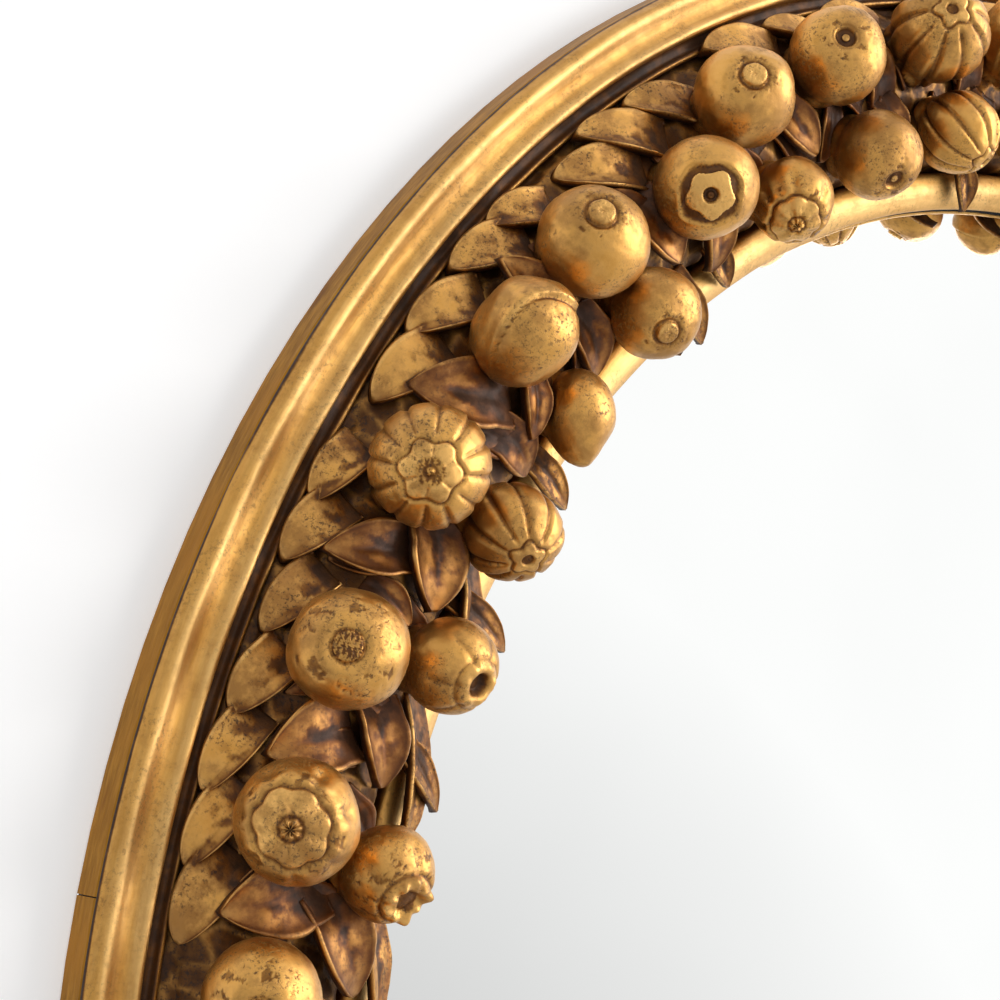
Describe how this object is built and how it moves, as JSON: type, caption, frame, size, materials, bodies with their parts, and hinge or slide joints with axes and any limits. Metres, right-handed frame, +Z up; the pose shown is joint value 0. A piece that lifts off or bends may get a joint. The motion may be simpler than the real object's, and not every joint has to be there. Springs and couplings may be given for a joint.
{
  "type": "convex mirror",
  "caption": "Round convex butlers mirror in a gilded frame with a carved garland of fruit and leaves, hung from rings on its back.",
  "frame": {"origin": "centre of the back of the frame, on the wall plane", "axes": "+Z up, +X to the viewer's right, the mirror faces -Y and its back faces +Y"},
  "size_m": [0.8999, 0.0673, 0.9],
  "materials": {
    "gilt_side_band": "thin aged gilding over red bole on limewood, raw wood at the back",
    "gilt_moulding": "burnished antique gilding with worn streaks",
    "gilt_bed": "dark antique gilding in the recesses",
    "gilt_fruit": "antique gilding, bright on the crests and brown in the hollows",
    "gilt_leaf": "antique gilding, matt and worn",
    "mirror_glass": "silvered convex glass",
    "black_felt": "felt strip",
    "cork": "cork strip",
    "hardboard": "brown hardboard",
    "button_brass": "satin brass",
    "screw_steel": "zinc plated",
    "hanger_steel": "nickel plated",
    "dowel_wood": "beech"
  },
  "bodies": {
    "frame": {"back_ring_upper": "gilt_side_band", "back_ring_lower": "gilt_side_band", "outer_moulding": "gilt_moulding", "garland_bed": "gilt_bed", "sight_lip": "gilt_moulding", "convex_glass": "mirror_glass", "glazing_felt": "black_felt", "rim_spacer": "cork", "backing_board": "hardboard", "button_screws": "screw_steel", "hanger_strap_left": "hanger_steel", "hanger_strap_right": "hanger_steel", "hanger_screws": "screw_steel", "frame_screws": "screw_steel", "moulding_dowels": "dowel_wood", "lip_brads": "screw_steel", "seam_splines": "dowel_wood", "fruit_pins": "dowel_wood", "apples_upper_left": "gilt_fruit", "pomegranates_upper_left": "gilt_fruit", "melons_upper_left": "gilt_fruit", "plums_upper_left": "gilt_fruit", "lemon_upper_left": "gilt_fruit", "outer_leaves_upper_left": "gilt_leaf", "middle_leaves_upper_left": "gilt_leaf", "inner_leaves_upper_left": "gilt_leaf", "apples_upper_right": "gilt_fruit", "pomegranates_upper_right": "gilt_fruit", "melons_upper_right": "gilt_fruit", "plums_upper_right": "gilt_fruit", "lemon_upper_right": "gilt_fruit", "outer_leaves_upper_right": "gilt_leaf", "middle_leaves_upper_right": "gilt_leaf", "inner_leaves_upper_right": "gilt_leaf", "apples_lower_right": "gilt_fruit", "pomegranates_lower_right": "gilt_fruit", "melons_lower_right": "gilt_fruit", "plums_lower_right": "gilt_fruit", "lemon_lower_right": "gilt_fruit", "outer_leaves_lower_right": "gilt_leaf", "middle_leaves_lower_right": "gilt_leaf", "inner_leaves_lower_right": "gilt_leaf", "apples_lower_left": "gilt_fruit", "pomegranates_lower_left": "gilt_fruit", "melons_lower_left": "gilt_fruit", "plums_lower_left": "gilt_fruit", "lemon_lower_left": "gilt_fruit", "outer_leaves_lower_left": "gilt_leaf", "middle_leaves_lower_left": "gilt_leaf", "inner_leaves_lower_left": "gilt_leaf"},
    "turn_button_1_body": {"turn_button_1": "button_brass"},
    "turn_button_2_body": {"turn_button_2": "button_brass"},
    "turn_button_3_body": {"turn_button_3": "button_brass"},
    "turn_button_4_body": {"turn_button_4": "button_brass"},
    "turn_button_5_body": {"turn_button_5": "button_brass"},
    "turn_button_6_body": {"turn_button_6": "button_brass"},
    "d_ring_left_body": {"d_ring_left": "hanger_steel"},
    "d_ring_right_body": {"d_ring_right": "hanger_steel"}
  },
  "joints": [
    {"name": "turn_button_1_pivot", "type": "hinge", "parent": "frame", "child": "turn_button_1_body", "pos_m": [0, -0.0028, 0.367], "axis": [0, 1, 0], "range_deg": [0, 90]},
    {"name": "turn_button_2_pivot", "type": "hinge", "parent": "frame", "child": "turn_button_2_body", "pos_m": [-0.31783, -0.0028, 0.1835], "axis": [0, 1, 0], "range_deg": [0, 90]},
    {"name": "turn_button_3_pivot", "type": "hinge", "parent": "frame", "child": "turn_button_3_body", "pos_m": [-0.31783, -0.0028, -0.1835], "axis": [0, 1, 0], "range_deg": [0, 90]},
    {"name": "turn_button_4_pivot", "type": "hinge", "parent": "frame", "child": "turn_button_4_body", "pos_m": [0, -0.0028, -0.367], "axis": [0, 1, 0], "range_deg": [0, 90]},
    {"name": "turn_button_5_pivot", "type": "hinge", "parent": "frame", "child": "turn_button_5_body", "pos_m": [0.31783, -0.0028, -0.1835], "axis": [0, 1, 0], "range_deg": [0, 90]},
    {"name": "turn_button_6_pivot", "type": "hinge", "parent": "frame", "child": "turn_button_6_body", "pos_m": [0.31783, -0.0028, 0.1835], "axis": [0, 1, 0], "range_deg": [0, 90]},
    {"name": "d_ring_left_hinge", "type": "hinge", "parent": "frame", "child": "d_ring_left_body", "pos_m": [-0.379, -0.0043, 0.17], "axis": [1, 0, 0], "range_deg": [0, 165]},
    {"name": "d_ring_right_hinge", "type": "hinge", "parent": "frame", "child": "d_ring_right_body", "pos_m": [0.379, -0.0043, 0.17], "axis": [1, 0, 0], "range_deg": [0, 165]}
  ]
}
